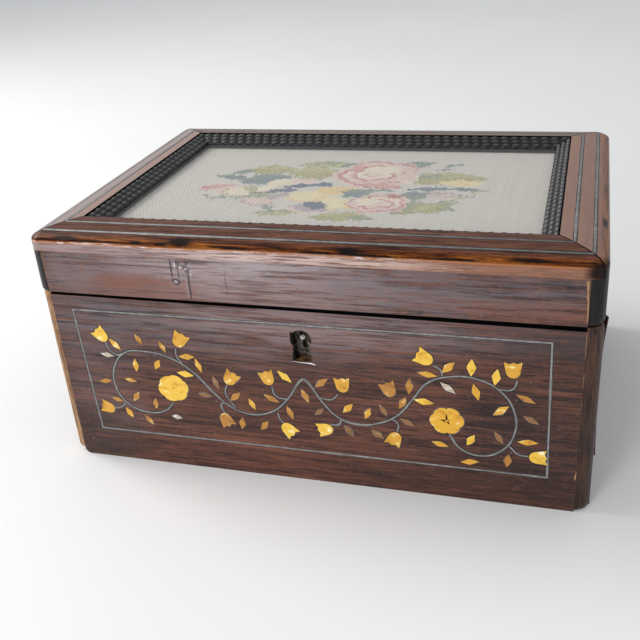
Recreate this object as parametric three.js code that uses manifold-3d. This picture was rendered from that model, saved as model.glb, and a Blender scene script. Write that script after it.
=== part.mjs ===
// Needlepoint wooden box.
// A rosewood box with quarter-round corner posts. The lid lifts off and carries
// a mitred cushion frame, a ripple moulding, a glass pane and a needlework panel.
// Millimetres, +Z up, front towards -Y, origin in the middle of the underside.

import * as THREE from 'three';
import { mergeVertices } from 'three/addons/utils/BufferGeometryUtils.js';
import Module from 'manifold-3d';

const wasm = await Module();
wasm.setup();

// Whole box
const width = 280;
const depth = 198;
const wall = 10; // thickness of the upright boards, in the lower part and in the lid
const cornerRadius = 7.25; // rounding of the four upright corners

// Lower part
const seatHeight = 101; // level at which the lid rests on the walls
const bottomThickness = 7;
const rimRebate = 4; // how far the open joint under the lid goes in
const jointGapLeft = 1.5; // height of that joint at the left end
const jointGapRight = 2.5; // and at the right end, where it gapes more
const postGap = 0.75; // joint above the corner posts
const chippedCorner = 3.5; // lower left corner of the front board, worn round

// Front left post, whose dark skin and foot are lost
const lostSkin = 0.6;
const lostFoot = 3;
const barePostGap = 0.25;

// Keyhole, whose escutcheon is lost, and the lock behind it
const keyholeX = 1.25; // a little right of the middle
const keyholeDrop = 12; // from the seat down to the keyhole's top
const keyholeHeight = 17.5;
const keyholeRadius = 5.5; // round upper part
const keyholeWaist = 8.25; // width where the slot leaves the round part
const keyholeFoot = 10.25; // width at its lower end
const keyholeDepth = 6.5; // wood in front of the lock, whose back is flush with the wall's inside
const lockWidth = 38;
const lockMargin = 1; // lock below the keyhole's lower end
const lockTopGap = 0.25; // lock below the seat
const lockClearance = 0.3; // round the lock in its mortise
const lockEyeRadius = 2.6; // the lock's own keyhole, with a pin in it
const lockEyeDepth = 2.5;
const lockSlotWidth = 2.4;
const lockSlotLength = 7.5; // from the pin's centre down
const pinRadius = 1.25;
const pinReach = 3.2; // pin in front of the lock

// Lid
const bandHeight = 22.5; // upright sides of the lid
const frameFace = 4.75; // upright edge of the top frame
const frameCrown = 6.125; // rise of its rounded top
const frameWidth = 21.75;
const mitreGap = 0.4; // shrunken mitre joints
const glassRebate = 4.75; // how far the frame laps over the glass
const glassClearance = 0.3;
const glassThickness = 2.25;
const panelThickness = 3; // needlework on its board
const liningThickness = 4; // board that closes the lid from below

// Ripple moulding
const rippleClearance = 0.4; // dark line between frame and ripple moulding
const rippleWidth = 7.9;
const rippleDrop = 0.6; // outer edge below the frame's top
const rippleFall = 4.1; // fall from the outer edge to the inner one
const rippleBeads = 3;
const beadRise = 0.55;
const ripplePitch = 6; // length of one wave
const rippleHeight = 0.45; // each wave rises and sinks this much

// Wear at the ends of the corner posts: how far in and how far along
const slightWear = { inset: 0.8, along: 1.6 };
const jointWear = { inset: 1.2, along: 4.5 };
const footWear = { inset: 2, along: 4 };

// Facets
const roundSegments = 40; // a full turn of a post
const crownSegments = 7; // each half of the frame's rounded top
const holeSegments = 12;
const pinSegments = 16;
const wearSegments = 4;

const cutMargin = 1; // a cutter runs this far past what it cuts

// Levels and planes that several pieces share
const halfWidth = width / 2;
const halfDepth = depth / 2;
const innerX = halfWidth - wall;
const innerY = halfDepth - wall;
const postX = halfWidth - cornerRadius; // axes of the corner posts
const postY = halfDepth - cornerRadius;
const glassTop = panelThickness + glassThickness; // above the frame's underside
const frameTop = frameFace + frameCrown;
const noseAngle = Math.acos((frameWidth - cornerRadius) / frameWidth); // the crown's share at a corner
const keyholeTop = seatHeight - keyholeDrop;
const keyholeBottom = keyholeTop - keyholeHeight;
const keyholeCentre = keyholeTop - keyholeRadius;
const lockFace = -halfDepth + keyholeDepth;

// Exact turns, so that faces that meet keep the same numbers
const axisX = new THREE.Vector3(1, 0, 0);
const axisY = new THREE.Vector3(0, 1, 0);
const axisZ = new THREE.Vector3(0, 0, 1);
const upright = new THREE.Matrix4().makeBasis(axisX, axisZ, axisY.clone().negate());
const alongX = new THREE.Matrix4().makeBasis(axisY, axisZ, axisX);
const quarterTurn = new THREE.Matrix4().makeBasis(axisY, axisX.clone().negate(), axisZ);

function turned(geometry, quarters) {
  for (let i = 0; i < quarters; i += 1) geometry.applyMatrix4(quarterTurn);
  return geometry;
}

// Solids for cutting and joining
function toSolid(geometry) {
  const bare = geometry.clone();
  bare.deleteAttribute('normal');
  bare.deleteAttribute('uv');
  const merged = mergeVertices(bare);
  const corners = merged.index.array;
  const kept = [];
  for (let i = 0; i < corners.length; i += 3) {
    const [a, b, c] = [corners[i], corners[i + 1], corners[i + 2]];
    if (a !== b && b !== c && c !== a) kept.push(a, b, c);
  }
  return new wasm.Manifold(new wasm.Mesh({
    numProp: 3,
    vertProperties: merged.attributes.position.array,
    triVerts: Uint32Array.from(kept),
  }));
}

function toGeometry(solid) {
  const mesh = solid.getMesh();
  const geometry = new THREE.BufferGeometry();
  geometry.setAttribute('position', new THREE.BufferAttribute(mesh.vertProperties, 3));
  geometry.setIndex(new THREE.BufferAttribute(mesh.triVerts, 1));
  geometry.computeVertexNormals();
  return geometry;
}

function outline(points) {
  return new THREE.Shape(points.map(([x, y]) => new THREE.Vector2(x, y)));
}

// A plan outline raised from one level to another
function raised(shape, low, high, curveSegments = holeSegments) {
  const options = { depth: high - low, bevelEnabled: false, curveSegments };
  return new THREE.ExtrudeGeometry(shape, options).translate(0, 0, low);
}

// An outline seen from the front, made thick from one depth to another
function boarded(shape, front, back, curveSegments = holeSegments) {
  const options = { depth: back - front, bevelEnabled: false, curveSegments };
  return new THREE.ExtrudeGeometry(shape, options).applyMatrix4(upright).translate(0, back, 0);
}

function block(low, high) {
  const size = high.map((value, i) => value - low[i]);
  const middle = high.map((value, i) => (value + low[i]) / 2);
  return new THREE.BoxGeometry(...size).translate(...middle);
}

// Finishes
function wood(color, roughness = 0.45) {
  return new THREE.MeshStandardMaterial({ color, roughness, metalness: 0 });
}

const rosewood = wood(0x3b241f);
const postWood = wood(0x35201c);
const darkPostWood = wood(0x241c1c);
const bareWood = wood(0x96704b, 0.7);
const frameWood = wood(0x6d4433, 0.35);
const ebonised = wood(0x26242a, 0.4);
const carcassWood = wood(0x6a4c36, 0.75);
const canvas = new THREE.MeshStandardMaterial({ color: 0xcfc8be, roughness: 0.95, metalness: 0 });
const steel = new THREE.MeshStandardMaterial({ color: 0x6b6560, roughness: 0.5, metalness: 0.9 });
const clearGlass = new THREE.MeshStandardMaterial({
  color: 0xf4f8f6, roughness: 0.05, metalness: 0, transparent: true, opacity: 0.25,
});

function piece(name, geometry, material) {
  const mesh = new THREE.Mesh(geometry, material);
  mesh.name = name;
  return mesh;
}

// Long boards of the lower part stand between the posts. Their inner part rises
// to the seat and their outer part stops short of it, which leaves the open joint.
function longBoard(gapAtLowX, gapAtHighX, chip) {
  const skin = new THREE.Shape();
  skin.moveTo(postX, 0);
  skin.lineTo(postX, seatHeight - gapAtHighX);
  skin.lineTo(-postX, seatHeight - gapAtLowX);
  skin.lineTo(-postX, chip);
  if (chip > 0) skin.absarc(-postX + chip, chip, chip, Math.PI, 1.5 * Math.PI);
  const core = outline([
    [postX, 0], [postX, seatHeight], [-postX, seatHeight], [-postX, chip], [-postX + chip, 0],
  ]);
  const outer = toSolid(boarded(skin, -halfDepth, -halfDepth + rimRebate));
  const inner = toSolid(boarded(core, -halfDepth + rimRebate, -innerY));
  return outer.add(inner);
}

function keyholeOutline() {
  const neck = Math.asin(keyholeWaist / 2 / keyholeRadius);
  const shape = new THREE.Shape();
  shape.absarc(keyholeX, keyholeCentre, keyholeRadius, -Math.PI / 2 + neck, 1.5 * Math.PI - neck);
  shape.lineTo(keyholeX - keyholeFoot / 2, keyholeBottom);
  shape.lineTo(keyholeX + keyholeFoot / 2, keyholeBottom);
  shape.closePath();
  return shape;
}

function frontBoard() {
  const outside = -halfDepth - cutMargin;
  const inside = -innerY + cutMargin;
  const keyhole = toSolid(boarded(keyholeOutline(), outside, inside, 2 * holeSegments));
  const mortise = toSolid(block(
    [keyholeX - lockWidth / 2 - lockClearance, lockFace, keyholeBottom - lockMargin - lockClearance],
    [keyholeX + lockWidth / 2 + lockClearance, inside, seatHeight + cutMargin],
  ));
  const board = longBoard(jointGapLeft, jointGapRight, chippedCorner);
  return toGeometry(board.subtract(keyhole).subtract(mortise));
}

function backBoard() {
  return turned(toGeometry(longBoard(jointGapRight, jointGapLeft, 0)), 2);
}

// Side boards lie between the long boards, with a step that clears the posts
function sideOutline(inset) {
  const outerX = halfWidth - inset;
  return outline([
    [outerX, -postY], [outerX, postY], [postX, postY], [postX, innerY],
    [innerX, innerY], [innerX, -innerY], [postX, -innerY], [postX, -postY],
  ]);
}

function sideBoard(gap) {
  const rebateX = halfWidth - rimRebate;
  const skin = toSolid(block([rebateX, -postY, 0], [halfWidth, postY, seatHeight - gap]));
  return toGeometry(skin.add(toSolid(raised(sideOutline(rimRebate), 0, seatHeight))));
}

// A corner post is a quarter of a turned rod whose ends are worn round
function cornerPost(cornerX, cornerY, { low, high, radius = cornerRadius, lowWear: foot, highWear: head }) {
  const rod = new THREE.Path();
  rod.moveTo(0, low);
  rod.lineTo(radius - foot.inset, low);
  rod.absellipse(radius - foot.inset, low + foot.along, foot.inset, foot.along, -Math.PI / 2, 0);
  rod.absellipse(radius - head.inset, high - head.along, head.inset, head.along, 0, Math.PI / 2);
  rod.lineTo(0, high);
  const turning = new THREE.LatheGeometry(rod.getPoints(wearSegments), roundSegments).applyMatrix4(upright);
  const reach = radius + cutMargin;
  const quarter = block(
    [Math.min(0, cornerX * reach), Math.min(0, cornerY * reach), low - cutMargin],
    [Math.max(0, cornerX * reach), Math.max(0, cornerY * reach), high + cutMargin],
  );
  const post = toSolid(turning).intersect(toSolid(quarter));
  return toGeometry(post).translate(cornerX * postX, cornerY * postY, 0);
}

// The lock is let into the front board from inside and shows in the keyhole
function lockCase() {
  const lock = toSolid(block(
    [keyholeX - lockWidth / 2, lockFace, keyholeBottom - lockMargin],
    [keyholeX + lockWidth / 2, -innerY, seatHeight - lockTopGap],
  ));
  const eye = new THREE.Shape();
  const neck = Math.asin(lockSlotWidth / 2 / lockEyeRadius);
  eye.absarc(keyholeX, keyholeCentre, lockEyeRadius, -Math.PI / 2 + neck, 1.5 * Math.PI - neck);
  eye.lineTo(keyholeX - lockSlotWidth / 2, keyholeCentre - lockSlotLength);
  eye.lineTo(keyholeX + lockSlotWidth / 2, keyholeCentre - lockSlotLength);
  return toGeometry(lock.subtract(toSolid(boarded(eye, lockFace - cutMargin, lockFace + lockEyeDepth))));
}

function lockPin() {
  const tip = lockFace - pinReach;
  const root = lockFace + lockEyeDepth;
  const disc = new THREE.Shape().absarc(keyholeX, keyholeCentre, pinRadius, 0, 2 * Math.PI);
  return boarded(disc, tip, root, pinSegments);
}

// Plan of one side of a mitred frame, seen as the front side
function mitredPlan(length, outerInset, sideWidth) {
  const half = length / 2 - outerInset - mitreGap / Math.SQRT2;
  const inner = half - sideWidth;
  const far = outerInset + sideWidth;
  return outline([[-half, outerInset], [half, outerInset], [inner, far], [-inner, far]]);
}

// Cushion profile of the top frame, with the rebate for glass and panel below
function frameProfile() {
  const profile = new THREE.Shape();
  const rebate = frameWidth - glassRebate;
  profile.moveTo(0, 0);
  profile.lineTo(rebate, 0);
  profile.lineTo(rebate, glassTop);
  profile.lineTo(frameWidth, glassTop);
  profile.lineTo(frameWidth, frameTop);
  profile.absellipse(frameWidth, frameFace, frameWidth, frameCrown, Math.PI / 2, Math.PI - noseAngle);
  profile.absellipse(frameWidth, frameFace, frameWidth, frameCrown, Math.PI - noseAngle, Math.PI);
  profile.closePath();
  return profile;
}

// What is taken off a corner, so that the cushion profile turns about the post's axis
function cornerWaste(axisX) {
  const profile = new THREE.Path();
  profile.moveTo(0, -cutMargin);
  profile.lineTo(cornerRadius, -cutMargin);
  profile.lineTo(cornerRadius, frameFace);
  profile.absellipse(cornerRadius - frameWidth, frameFace, frameWidth, frameCrown, 0, noseAngle);
  const hood = new THREE.LatheGeometry(profile.getPoints(crownSegments), roundSegments);
  const cap = toSolid(hood.applyMatrix4(upright).translate(axisX, cornerRadius, 0));
  const outward = Math.sign(axisX);
  const reach = axisX + outward * (cornerRadius + cutMargin);
  const square = block(
    [Math.min(axisX, reach), -cutMargin, -cutMargin / 2],
    [Math.max(axisX, reach), cornerRadius, frameTop + cutMargin],
  );
  return toSolid(square).subtract(cap);
}

// One side of the frame as the front side, then turned to its place
function frameSide(length, offset, quarters) {
  const straight = new THREE.ExtrudeGeometry(frameProfile(), {
    depth: length, bevelEnabled: false, curveSegments: crownSegments,
  }).applyMatrix4(alongX).translate(-length / 2, 0, 0);
  const plan = raised(mitredPlan(length, 0, frameWidth), -cutMargin, frameTop + cutMargin);
  const axis = length / 2 - cornerRadius;
  const mitred = toSolid(straight).intersect(toSolid(plan));
  const side = mitred.subtract(cornerWaste(-axis)).subtract(cornerWaste(axis));
  return turned(toGeometry(side).translate(0, -offset, 0), quarters);
}

// Three small beads step down to the glass; every one of them waves
function rippleProfile(outer) {
  const top = frameTop - rippleDrop;
  const beadWidth = rippleWidth / rippleBeads;
  const slope = rippleFall / rippleWidth;
  const points = [[outer, glassTop], [outer, top]];
  for (let i = 0; i < rippleBeads; i += 1) {
    const crest = (i + 0.5) * beadWidth;
    const valley = (i + 1) * beadWidth;
    points.push([outer + crest, top - crest * slope + beadRise]);
    points.push([outer + valley, top - valley * slope]);
  }
  points.push([outer + rippleWidth, glassTop]);
  return outline(points.reverse());
}

function rippleSide(length, offset, quarters) {
  const outer = frameWidth + rippleClearance;
  const steps = 2 * Math.round(length / ripplePitch);
  const options = { depth: length, steps, bevelEnabled: false };
  const strip = new THREE.ExtrudeGeometry(rippleProfile(outer), options).applyMatrix4(alongX);
  const place = strip.attributes.position;
  for (let i = 0; i < place.count; i += 1) {
    const onCrest = Math.round(place.getX(i) / length * steps) % 2 === 0;
    const lifted = place.getZ(i) > glassTop + rippleHeight / 2;
    if (lifted) place.setZ(i, place.getZ(i) + (onCrest ? rippleHeight : -rippleHeight));
  }
  strip.translate(-length / 2, 0, 0);
  const across = mitredPlan(length, outer, rippleWidth);
  const plan = raised(across, glassTop - cutMargin, frameTop + cutMargin);
  const side = toGeometry(toSolid(strip).intersect(toSolid(plan)));
  return turned(side.translate(0, -offset, 0), quarters);
}

// Lower part
function lowerPart() {
  const group = new THREE.Group();
  group.add(piece('front_board', frontBoard(), rosewood));
  group.add(piece('back_board', backBoard(), rosewood));
  group.add(piece('right_board', sideBoard(jointGapRight), rosewood));
  group.add(piece('left_board', turned(sideBoard(jointGapLeft), 2), rosewood));
  const bottom = block([-innerX, -innerY, 0], [innerX, innerY, bottomThickness]);
  group.add(piece('bottom_board', bottom, carcassWood));

  const high = seatHeight - postGap;
  const plainEnds = { low: 0, high, lowWear: slightWear, highWear: slightWear };
  const worn = { low: 0, high, lowWear: footWear, highWear: jointWear };
  const bare = {
    low: lostFoot,
    high: seatHeight - barePostGap,
    radius: cornerRadius - lostSkin,
    lowWear: slightWear,
    highWear: slightWear,
  };
  group.add(piece('front_left_post', cornerPost(-1, -1, bare), bareWood));
  group.add(piece('front_right_post', cornerPost(1, -1, worn), postWood));
  group.add(piece('back_left_post', cornerPost(-1, 1, plainEnds), postWood));
  group.add(piece('back_right_post', cornerPost(1, 1, plainEnds), postWood));

  group.add(piece('lock_case', lockCase(), steel));
  group.add(piece('lock_pin', lockPin(), steel));
  return group;
}

// Upright sides of the lid, from its lower edge to the frame
function lidBands() {
  const group = new THREE.Group();
  const long = () => block([-postX, -halfDepth, 0], [postX, -innerY, bandHeight]);
  const short = () => raised(sideOutline(0), 0, bandHeight);
  group.add(piece('lid_front_band', long(), rosewood));
  group.add(piece('lid_right_band', short(), rosewood));
  group.add(piece('lid_back_band', turned(long(), 2), rosewood));
  group.add(piece('lid_left_band', turned(short(), 2), rosewood));

  const ends = { low: 0, high: bandHeight, lowWear: slightWear, highWear: { inset: 0, along: 0 } };
  const wornEnds = { ...ends, lowWear: jointWear };
  group.add(piece('lid_front_left_post', cornerPost(-1, -1, ends), darkPostWood));
  group.add(piece('lid_front_right_post', cornerPost(1, -1, wornEnds), darkPostWood));
  group.add(piece('lid_back_left_post', cornerPost(-1, 1, ends), darkPostWood));
  group.add(piece('lid_back_right_post', cornerPost(1, 1, ends), darkPostWood));
  group.add(piece('lid_lining_board', block(
    [-innerX, -innerY, bandHeight - liningThickness],
    [innerX, innerY, bandHeight],
  ), carcassWood));
  return group;
}

// Frame, needlework, glass and ripple moulding, from the frame's underside up
function lidTop() {
  const group = new THREE.Group();
  const inset = frameWidth - glassRebate + glassClearance;
  const paneX = halfWidth - inset;
  const paneY = halfDepth - inset;
  const panel = block([-paneX, -paneY, 0], [paneX, paneY, panelThickness]);
  const pane = block([-paneX, -paneY, panelThickness], [paneX, paneY, glassTop]);
  group.add(piece('needlework_panel', panel, canvas));
  group.add(piece('glass_pane', pane, clearGlass));

  const sides = [
    ['front', width, halfDepth], ['right', depth, halfWidth],
    ['back', width, halfDepth], ['left', depth, halfWidth],
  ];
  sides.forEach(([name, length, offset], quarters) => {
    group.add(piece(`lid_frame_${name}`, frameSide(length, offset, quarters), frameWood));
    group.add(piece(`ripple_moulding_${name}`, rippleSide(length, offset, quarters), ebonised));
  });
  return group;
}

const box = new THREE.Group();
box.add(lowerPart());
const lid = new THREE.Group();
lid.position.z = seatHeight;
lid.add(lidBands());
const top = lidTop();
top.position.z = bandHeight;
lid.add(top);
box.add(lid);

export default box;
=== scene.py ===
# Needlepoint wooden box: finishes, inlay, ripple moulding, needlework and wear
import bpy, bmesh, math, random
import numpy as np
from mathutils import Vector, Matrix


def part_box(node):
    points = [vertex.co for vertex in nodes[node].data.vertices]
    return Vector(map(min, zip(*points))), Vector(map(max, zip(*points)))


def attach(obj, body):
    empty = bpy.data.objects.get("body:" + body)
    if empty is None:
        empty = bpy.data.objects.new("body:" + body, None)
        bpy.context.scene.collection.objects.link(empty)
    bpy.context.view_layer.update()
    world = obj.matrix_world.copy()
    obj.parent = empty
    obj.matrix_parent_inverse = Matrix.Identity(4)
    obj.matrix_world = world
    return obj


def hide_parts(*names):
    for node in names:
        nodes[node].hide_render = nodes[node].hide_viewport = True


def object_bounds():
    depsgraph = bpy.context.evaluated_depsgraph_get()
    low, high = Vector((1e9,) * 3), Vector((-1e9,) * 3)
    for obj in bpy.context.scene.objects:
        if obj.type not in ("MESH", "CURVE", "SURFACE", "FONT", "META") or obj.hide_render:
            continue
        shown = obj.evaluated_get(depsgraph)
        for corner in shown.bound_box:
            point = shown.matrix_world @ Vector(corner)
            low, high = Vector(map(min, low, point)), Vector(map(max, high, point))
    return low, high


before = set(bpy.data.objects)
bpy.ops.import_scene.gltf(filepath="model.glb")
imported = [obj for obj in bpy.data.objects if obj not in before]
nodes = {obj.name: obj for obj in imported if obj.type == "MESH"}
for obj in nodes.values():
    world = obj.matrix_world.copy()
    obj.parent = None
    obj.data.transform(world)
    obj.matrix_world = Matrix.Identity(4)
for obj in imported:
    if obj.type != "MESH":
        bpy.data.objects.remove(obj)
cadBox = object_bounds()
mm = 0.001

# Planes and levels read from the frame
halfWidth, halfDepth, topZ = Vector(cadBox[1])
frontY = -halfDepth
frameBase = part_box("lid_frame_front")[0].z
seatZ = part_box("lid_front_band")[0].z
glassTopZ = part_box("glass_pane")[1].z


# Shader helpers

def newMaterial(name):
    mat = bpy.data.materials.new(name)
    mat.use_nodes = True
    nt = mat.node_tree
    return mat, nt, nt.nodes["Principled BSDF"]


def addNode(nt, kind, **values):
    node = nt.nodes.new(kind)
    for key, value in values.items():
        setattr(node, key, value)
    return node


# A socket gets a link or a plain value
def put(nt, socket, value):
    if isinstance(value, bpy.types.NodeSocket):
        nt.links.new(value, socket)
    else:
        socket.default_value = value


# Spaces in a socket's name are written as underscores
def fill(nt, node, **values):
    for socket, value in values.items():
        put(nt, node.inputs[socket.replace("_", " ")], value)
    return node


def place(nt, scale=(1, 1, 1), turn=(0, 0, 0), shift=(0, 0, 0)):
    coords = addNode(nt, "ShaderNodeTexCoord").outputs["Object"]
    mapping = addNode(nt, "ShaderNodeMapping")
    return fill(nt, mapping, Scale=scale, Rotation=turn, Location=shift, Vector=coords).outputs["Vector"]


def noise(nt, vector, scale, detail=4.0, rough=0.55, distortion=0.0):
    node = addNode(nt, "ShaderNodeTexNoise")
    fill(nt, node, Scale=scale, Detail=detail, Roughness=rough, Distortion=distortion, Vector=vector)
    return node.outputs["Fac"]


def ramp(nt, factor, stops):
    node = addNode(nt, "ShaderNodeValToRGB")
    while len(node.color_ramp.elements) < len(stops):
        node.color_ramp.elements.new(0.5)
    for element, (position, color) in zip(node.color_ramp.elements, stops):
        element.position = position
        element.color = (*color, 1)
    return fill(nt, node, Fac=factor).outputs["Color"]


def mask(nt, factor, low, high):
    node = addNode(nt, "ShaderNodeMapRange", interpolation_type="SMOOTHSTEP")
    return fill(nt, node, From_Min=low, From_Max=high, Value=factor).outputs["Result"]


def maths(nt, operation, *values, kind="ShaderNodeMath"):
    node = addNode(nt, kind, operation=operation)
    for socket, value in zip(node.inputs, values):
        put(nt, socket, value)
    return node.outputs["Value" if kind == "ShaderNodeMath" or operation == "LENGTH" else "Vector"]


def times(nt, a, b):
    return maths(nt, "MULTIPLY", a, b)


def plus(nt, a, b):
    return maths(nt, "ADD", a, b)


def vectorMaths(nt, operation, *values):
    return maths(nt, operation, *values, kind="ShaderNodeVectorMath")


def blendColor(nt, factor, a, b):
    node = addNode(nt, "ShaderNodeMix", data_type="RGBA")
    for index, value in ((0, factor), (6, a), (7, b)):
        put(nt, node.inputs[index], (*value, 1) if isinstance(value, tuple) else value)
    return node.outputs[2]


def axisValue(nt, axis, vector=None):
    split = addNode(nt, "ShaderNodeSeparateXYZ")
    return fill(nt, split, Vector=vector or place(nt)).outputs[axis]


def bump(nt, height, strength, distance):
    node = addNode(nt, "ShaderNodeBump")
    return fill(nt, node, Strength=strength, Distance=distance, Height=height).outputs["Normal"]


# Spot: 1 inside an ellipse round a point, 0 outside, with a noisy edge
def spot(nt, centre, radii, soft=0.5, rough=0.0, seed=0.0):
    coords = place(nt)
    if rough:
        wobble = fill(nt, addNode(nt, "ShaderNodeTexNoise"), Scale=1 / max(min(radii), mm) * 0.8, Detail=3,
                      Vector=vectorMaths(nt, "ADD", coords, (seed, seed, seed)))
        push = vectorMaths(nt, "SUBTRACT", wobble.outputs["Color"], (0.5, 0.5, 0.5))
        push = vectorMaths(nt, "MULTIPLY", push, [2 * rough * radius for radius in radii])
        coords = vectorMaths(nt, "ADD", coords, push)
    away = vectorMaths(nt, "DIVIDE", vectorMaths(nt, "SUBTRACT", coords, centre), radii)
    return mask(nt, vectorMaths(nt, "LENGTH", away), 1 + soft / 2, 1 - soft / 2)


# How far a point lies inside the outer face of one side of the box
sides = {"front": ("Y", -1, halfDepth), "right": ("X", 1, halfWidth),
         "back": ("Y", 1, halfDepth), "left": ("X", -1, halfWidth)}


def insetFrom(nt, side):
    axis, sign, away = sides[side]
    return maths(nt, "SUBTRACT", away, times(nt, axisValue(nt, axis), sign))


# Woods. Grain runs along one axis, figure is drawn out along it

woodKinds = {
    "rosewood": dict(dark=(0.008, 0.004, 0.005), mid=(0.05, 0.018, 0.014), light=(0.165, 0.06, 0.034),
                     rough=0.42, coat=0.0),
    "darkPost": dict(dark=(0.003, 0.0025, 0.003), mid=(0.007, 0.006, 0.006), light=(0.018, 0.013, 0.011),
                     rough=0.32, coat=0.0, ior=1.32),
    "redPost": dict(dark=(0.008, 0.004, 0.003), mid=(0.035, 0.014, 0.009), light=(0.09, 0.036, 0.018),
                    rough=0.38, coat=0.0),
    "bare": dict(dark=(0.14, 0.06, 0.025), mid=(0.31, 0.165, 0.075), light=(0.48, 0.3, 0.155),
                 rough=0.62, coat=0.0),
    "carcass": dict(dark=(0.09, 0.045, 0.022), mid=(0.2, 0.115, 0.06), light=(0.3, 0.19, 0.11),
                    rough=0.62, coat=0.0),
}


def grainVector(nt, along, stretch, shift=(0, 0, 0)):
    scale = [1.0, 1.0, 1.0]
    scale["XYZ".index(along)] = stretch
    return place(nt, scale=tuple(scale), shift=shift)


def woodColor(nt, kind, along, seed):
    shift = (seed * 0.37, seed * 0.53, seed * 0.71)
    broad = noise(nt, grainVector(nt, along, 0.2, shift), 42, 4, 0.6, 0.5)
    bands = noise(nt, grainVector(nt, along, 0.055, shift), 360, 6, 0.74, 0.3)
    streak = noise(nt, grainVector(nt, along, 0.045, shift), 1250, 4, 0.68, 0.25)
    pores = noise(nt, grainVector(nt, along, 0.07, shift), 2700, 2, 0.5)
    figure = plus(nt, times(nt, broad, 0.35), times(nt, bands, 0.65))
    base = ramp(nt, figure, [(0.37, kind["dark"]), (0.46, kind["mid"]), (0.62, kind["light"])])
    pale = mask(nt, streak, 0.48, 0.36)
    color = blendColor(nt, times(nt, pale, 0.6), base, kind["light"])
    lines = mask(nt, streak, 0.52, 0.6)
    color = blendColor(nt, times(nt, lines, 0.92), color, kind["dark"])
    dots = mask(nt, pores, 0.58, 0.68)
    color = blendColor(nt, times(nt, dots, 0.55), color, kind["dark"])
    return color, dict(bands=bands, streak=streak, dots=dots)


def finishWood(mat, nt, shader, color, kind, grain, bumpSize=0.00006, polish=0.0):
    worn = noise(nt, place(nt), 38, 5, 0.65)
    rough = plus(nt, kind["rough"] - 0.09, times(nt, worn, 0.22))
    rough = maths(nt, "SUBTRACT", plus(nt, rough, times(nt, grain["dots"], 0.15)), polish)
    height = maths(nt, "SUBTRACT", times(nt, grain["streak"], 0.4), grain["dots"])
    fill(nt, shader, Base_Color=color, Roughness=rough, Normal=bump(nt, height, 0.6, bumpSize),
         Coat_Weight=kind["coat"], Coat_Roughness=0.16, IOR=kind.get("ior", 1.4))
    return mat


# Painted shade: the faces inside the open joint under the lid are painted near black
def jointShade(nt, color, side):
    inset = insetFrom(nt, side)
    up = axisValue(nt, "Z")
    deep = times(nt, mask(nt, inset, 0.12 * mm, 0.5 * mm), mask(nt, inset, 6 * mm, 5 * mm))
    near = times(nt, mask(nt, up, seatZ - 4.2 * mm, seatZ - 3.6 * mm),
                 mask(nt, up, seatZ + 0.4 * mm, seatZ + 0.1 * mm))
    return blendColor(nt, times(nt, deep, near), color, (0.0015, 0.0012, 0.0012))


def plainWood(name, kindName, along, seed, side=None, bumpSize=0.00006):
    kind = woodKinds[kindName]
    mat, nt, shader = newMaterial(name)
    color, grain = woodColor(nt, kind, along, seed)
    if side:
        color = jointShade(nt, color, side)
    return finishWood(mat, nt, shader, color, kind, grain, bumpSize)


# Tones for the fronts: grey, pale, pink and dusk paint the sheen of light on the finish, glint paints
# highlights, and the hollow tone paints the shade inside the keyhole
sheenAndStainTones = {"grey": (0.15, 0.125, 0.14), "pale": (0.36, 0.3, 0.31), "pink": (0.29, 0.2, 0.19),
        "warm": (0.2, 0.065, 0.035), "ink": (0.02, 0.02, 0.028), "brown": (0.022, 0.011, 0.009),
        "gold": (0.25, 0.13, 0.045), "glint": (0.6, 0.53, 0.56), "dusk": (0.1, 0.075, 0.088),
        "rust": (0.035, 0.009, 0.003), "hollowShade": (0.001, 0.001, 0.001)}


# Spot on the front, its row holds x, z, half width and half height in millimetres
def frontSpot(nt, row, depth, soft, rough, seed, deep=0.0):
    x, z, width, height = row
    centre = (x * mm, frontY + deep * mm, z * mm)
    return spot(nt, centre, (width * mm, depth * mm, height * mm), soft, rough, seed)


# Veils let the figure show through in streaks, stains cover it; the grey, pale, pink and dusk veils paint
# the sheen of light on the finish, glint marks are painted highlights and the keyhole's inside is painted
# as shade. A row is a spot, its tone and strength, and for a stain also its edge's roughness, and in the
# keyhole how deep it lies and reaches
def frontWood(name, seed, veils=(), stainsAndPaintedLight=(), mottle=0.0):
    kind = woodKinds["rosewood"]
    mat, nt, shader = newMaterial(name)
    color, grain = woodColor(nt, kind, "X", seed)
    fine = noise(nt, grainVector(nt, "X", 0.05, (seed, 0, 0)), 620, 5, 0.7)
    fine = plus(nt, times(nt, mask(nt, fine, 0.38, 0.6), 0.9), 0.15)
    for *row, tone, strength in veils:
        veil = times(nt, frontSpot(nt, row, 30, 1.1, 0.45, seed), strength)
        color = blendColor(nt, times(nt, veil, fine), color, sheenAndStainTones[tone])
    blotches = mask(nt, noise(nt, place(nt, (1, 1, 1.8), shift=(seed, 0, 0)), 260, 5, 0.7), 0.5, 0.68)
    color = blendColor(nt, times(nt, blotches, mottle), color, (0.27, 0.105, 0.055))
    for x, z, width, height, tone, strength, rough, *inward in stainsAndPaintedLight:
        deep, depth = inward or (0, 20)
        dark = times(nt, frontSpot(nt, (x, z, width, height), depth, 0.4, rough, seed, deep), strength)
        color = blendColor(nt, dark, color, sheenAndStainTones[tone])
    slanted = place(nt, (1, 1, 0.4), (0, 0.5, 0), (seed, 0, 0))
    scratches = mask(nt, noise(nt, slanted, 850, 2, 0.5), 0.7, 0.75)
    color = blendColor(nt, times(nt, scratches, 0.5), color, (0.3, 0.24, 0.23))
    return finishWood(mat, nt, shader, jointShade(nt, color, "front"), kind, grain)


# Top frame: brown above, amber where it turns down, a painted highlight along the arris, a pale pinkish
# upright edge that is its own tone with a painted sheen, black knots

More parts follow.
